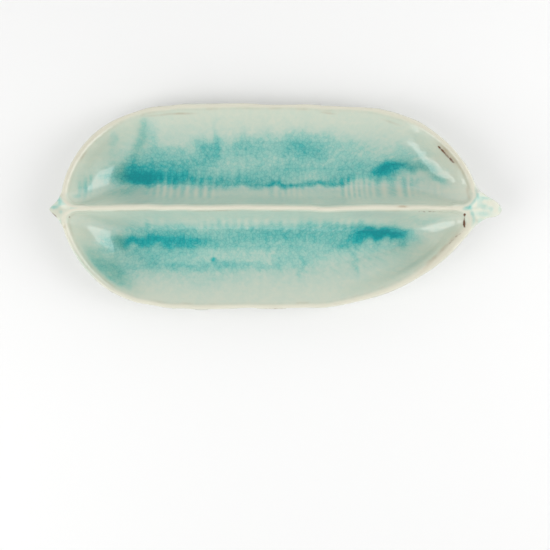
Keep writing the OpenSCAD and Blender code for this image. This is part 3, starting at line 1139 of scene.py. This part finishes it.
# Scales of the glaze's noises: of streaks and bands along the flow, of the others in a metre
STREAKS = (0.24, 0.24, 0.08)
BANDS = (0.008, 0.008, 2.0)
CLOUDS = 70.0
GRAIN = 900.0
CRACKLE = 430.0
PATCHES = 150.0
SPECKS = 420.0
RIPPLES = 160.0
# Shares of the noises in the unevenness of the thickness, and its mean
STREAK_SHARE = 0.42
CLOUD_SHARE = 0.26
FINE_SHARE = 0.10
UNEVEN_MEAN = 0.49
# Strengths of unevenness, moss, crackle, hull, tan and iron
GLASSY = 2.4
MOSSY = 0.5
CRACKLED = 0.7
CRACKLE_SHARP = 8.0
DEEP_GAIN = 1.3
DEEP_FROM = 0.25
HULL_SHARE = 0.7
TAN_GAIN = 1.3
SPECK_GAIN = 1.2
IRON_SHARP = 3.0
BUMP = {"Strength": 0.06, "Distance": 0.002}
GLASS_IOR = 1.5


def glass(n, place, flow, streaks, clouds):
    """Colour of the glass by its uneven thickness, with crackle where it is thick."""
    thick = n.attribute("thick")
    bands = n.noise(n.scaled(flow, BANDS), 1.0, 2.0, 0.5)
    grain = n.noise(place, GRAIN, 2.0, 0.5)
    crackle = {"Vector": place, "Scale": CRACKLE}
    cell = n.add("ShaderNodeTexVoronoi", crackle)
    tone = n.add("ShaderNodeSeparateColor", {"Color": cell.outputs["Color"]}).outputs[0]
    uneven = n.times(streaks, STREAK_SHARE)
    for part, share in ((clouds, CLOUD_SHARE), (grain, FINE_SHARE), (bands, FINE_SHARE), (tone, FINE_SHARE)):
        uneven = n.math("ADD", uneven, n.times(part, share))
    uneven = n.math("SUBTRACT", uneven, UNEVEN_MEAN)
    amount = n.math("ADD", thick, n.times(uneven, n.times(thick, GLASSY, clamp=True)), clamp=True)
    colour = n.blend(n.times(n.attribute("moss"), MOSSY, clamp=True), n.ramp(amount, RAMP), MOSS)
    cells = n.add("ShaderNodeTexVoronoi", crackle, feature="DISTANCE_TO_EDGE")
    line = n.math("SUBTRACT", 1.0, n.times(cells.outputs["Distance"], CRACKLE_SHARP, clamp=True))
    deep = n.math("SUBTRACT", n.times(amount, DEEP_GAIN), DEEP_FROM, clamp=True)
    return n.blend(n.times(line, n.times(deep, CRACKLED)), colour, DEEP)


def marked(n, place, colour):
    """A colour with the hull's, tan and iron over it."""
    colour = n.blend(n.times(n.attribute("hull"), HULL_SHARE), colour, HULL)
    patches = n.noise(place, PATCHES, 3.0, 0.6)
    tan = n.times(n.attribute("tan"), n.times(patches, TAN_GAIN), clamp=True)
    colour = n.blend(tan, colour, TAN)
    speck = n.noise(place, SPECKS, 4.0, 0.7)
    iron = n.math("ADD", n.attribute("iron"), n.times(speck, SPECK_GAIN))
    iron = n.times(n.math("SUBTRACT", iron, 1.0), IRON_SHARP, clamp=True)
    return n.blend(iron, colour, IRON)


def glaze(name, roughness, gloss):
    """Glaze coloured by its thickness, with the marks that are painted on the skin."""
    material = bpy.data.materials.new(name)
    n = Nodes(material)
    place = n.add("ShaderNodeTexCoord").outputs["Object"]
    flow = n.attribute("flow", "Vector")
    streaks = n.noise(n.scaled(flow, STREAKS), 1.0, 4.0, 0.6)
    clouds = n.noise(place, CLOUDS, 4.0, 0.6)
    height = n.math("ADD", n.noise(place, RIPPLES, 2.0, 0.5), n.times(streaks, 0.5))
    n.fill(n.shader, {
        "Base Color": marked(n, place, glass(n, place, flow, streaks, clouds)),
        "Roughness": n.math("ADD", n.times(clouds, 0.05), roughness),
        "Normal": n.add("ShaderNodeBump", dict(BUMP, Height=height)).outputs["Normal"],
        "IOR": GLASS_IOR,
        "Specular IOR Level": gloss,
    })
    return material


# Darkest and lightest tone of the floor
FLOOR_TONES = ((0.86, 0.86, 0.855, 1), (0.88, 0.88, 0.875, 1))


def floor_material():
    material = bpy.data.materials.new("pale_floor")
    n = Nodes(material)
    place = n.add("ShaderNodeTexCoord").outputs["Object"]
    tone = n.noise(place, 3.0, 2.0, 0.5)
    n.fill(n.shader, {"Base Color": n.blend(tone, *FLOOR_TONES), "Roughness": 0.9})
    return material


# Body

field = body_field()
points, quads = skin_of(field)
points = settle(field, points)
skin = new_mesh("skin", points, quads)

bowl_glaze = glaze("bowl_glaze", roughness=0.02, gloss=0.5)
crest_glaze = glaze("crest_glaze", roughness=0.3, gloss=0.3)
pool_glaze = glaze("pool_glaze", roughness=0.02, gloss=0.5)

# Cuts lie a little beside the points of the skin
CUT_SHIFT = 0.003
RIB_CUT_SHIFT = 0.007
seam_rise = (STEM_RIB_H - TIP_RIB_H) / (TIP_REACH + STEM_REACH)
seam_place = (0.0, 0.0, float(seam_z(0.0)) + CUT_SHIFT)
seam_up = (seam_rise, 0.0, 1.0)
seam_down = (-seam_rise, 0.0, -1.0)
rib_place = (0.0, RIB_Y + RIB_CUT_SHIFT, 0.0)
tip_place = (RIB_TIP_X + CUT_SHIFT, 0.0, 0.0)
stem_place = (RIB_STEM_X + CUT_SHIFT, 0.0, 0.0)

PIECES = (
    ("near_bowl", ((rib_place, (0, 1, 0)), (seam_place, seam_up)), bowl_glaze, "bowl_glaze"),
    ("far_bowl", ((rib_place, (0, -1, 0)), (seam_place, seam_up)), bowl_glaze, "bowl_glaze"),
    (
        "centre_rib",
        ((seam_place, seam_down), (tip_place, (-1, 0, 0)), (stem_place, (1, 0, 0))),
        crest_glaze, "crest_glaze",
    ),
    ("pod_tip", ((seam_place, seam_down), (tip_place, (1, 0, 0))), crest_glaze, "crest_glaze"),
    ("stem_handle", ((seam_place, seam_down), (stem_place, (-1, 0, 0))), crest_glaze, "crest_glaze"),
)
for node, planes, material, slot in PIECES:
    piece = body_piece("dish_" + node, skin, field, planes, material)
    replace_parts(piece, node)
bpy.data.meshes.remove(skin)
for bowl in (NEAR, FAR):
    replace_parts(pool_piece(bowl, pool_glaze), bowl.name + "_glaze_pool")

# Floor, light and camera

bpy.ops.mesh.primitive_plane_add(size=8.0, location=(0, 0, -0.0002))
floor = bpy.context.object
floor.name = "floor"
floor.data.materials.append(floor_material())


def softbox(name, azimuth, elevation, distance, width, height, power, mirrored):
    """A rectangular light that looks at the dish, and either lights it or is mirrored in its gloss."""
    data = bpy.data.lights.new(name, "AREA")
    data.shape = "RECTANGLE"
    data.size = width
    data.size_y = height
    data.energy = power
    light = bpy.data.objects.new(name, data)
    turn = radians(azimuth)
    rise = radians(elevation)
    level = distance * cos(rise)
    light.location = (level * cos(turn), level * sin(turn), distance * sin(rise))
    light.rotation_euler = (pi / 2 - rise, 0, turn + pi / 2)
    light.visible_diffuse = not mirrored
    light.visible_glossy = mirrored
    scene.collection.objects.link(light)


softbox("key_left", 202, 42, 1.0, 0.6, 0.9, 4.1, False)
softbox("key_right", 0, 42, 1.0, 0.6, 0.9, 4.1, False)
softbox("panel_left", 215, 27, 1.0, 0.90, 0.27, 2.6, True)
softbox("panel_right", 358, 30, 1.0, 1.7, 0.7, 11.5, True)

# A white tent, bright all round at eye level and darker overhead
TENT = {"From Min": 0.2, "From Max": 0.95, "To Min": 1.2, "To Max": 0.3}
world = bpy.data.worlds.new("tent")
scene.world = world
n = Nodes(world, "Background")
direction = n.add("ShaderNodeTexCoord").outputs["Generated"]
height = n.add("ShaderNodeSeparateXYZ", {0: direction}).outputs["Z"]
level = n.add("ShaderNodeMapRange", dict(TENT, Value=height)).outputs["Result"]
n.fill(n.shader, {"Strength": level, "Color": (1, 1, 1, 1)})

camera = bpy.data.objects.new("camera", bpy.data.cameras.new("camera"))
camera.data.sensor_width = 36.0
camera.data.lens = 66.4
camera.location = (-0.00104, 0.0, 0.73)
camera.rotation_euler = (radians(-3.81), 0, 0)
scene.collection.objects.link(camera)
scene.camera = camera
scene.view_settings.view_transform = "Standard"
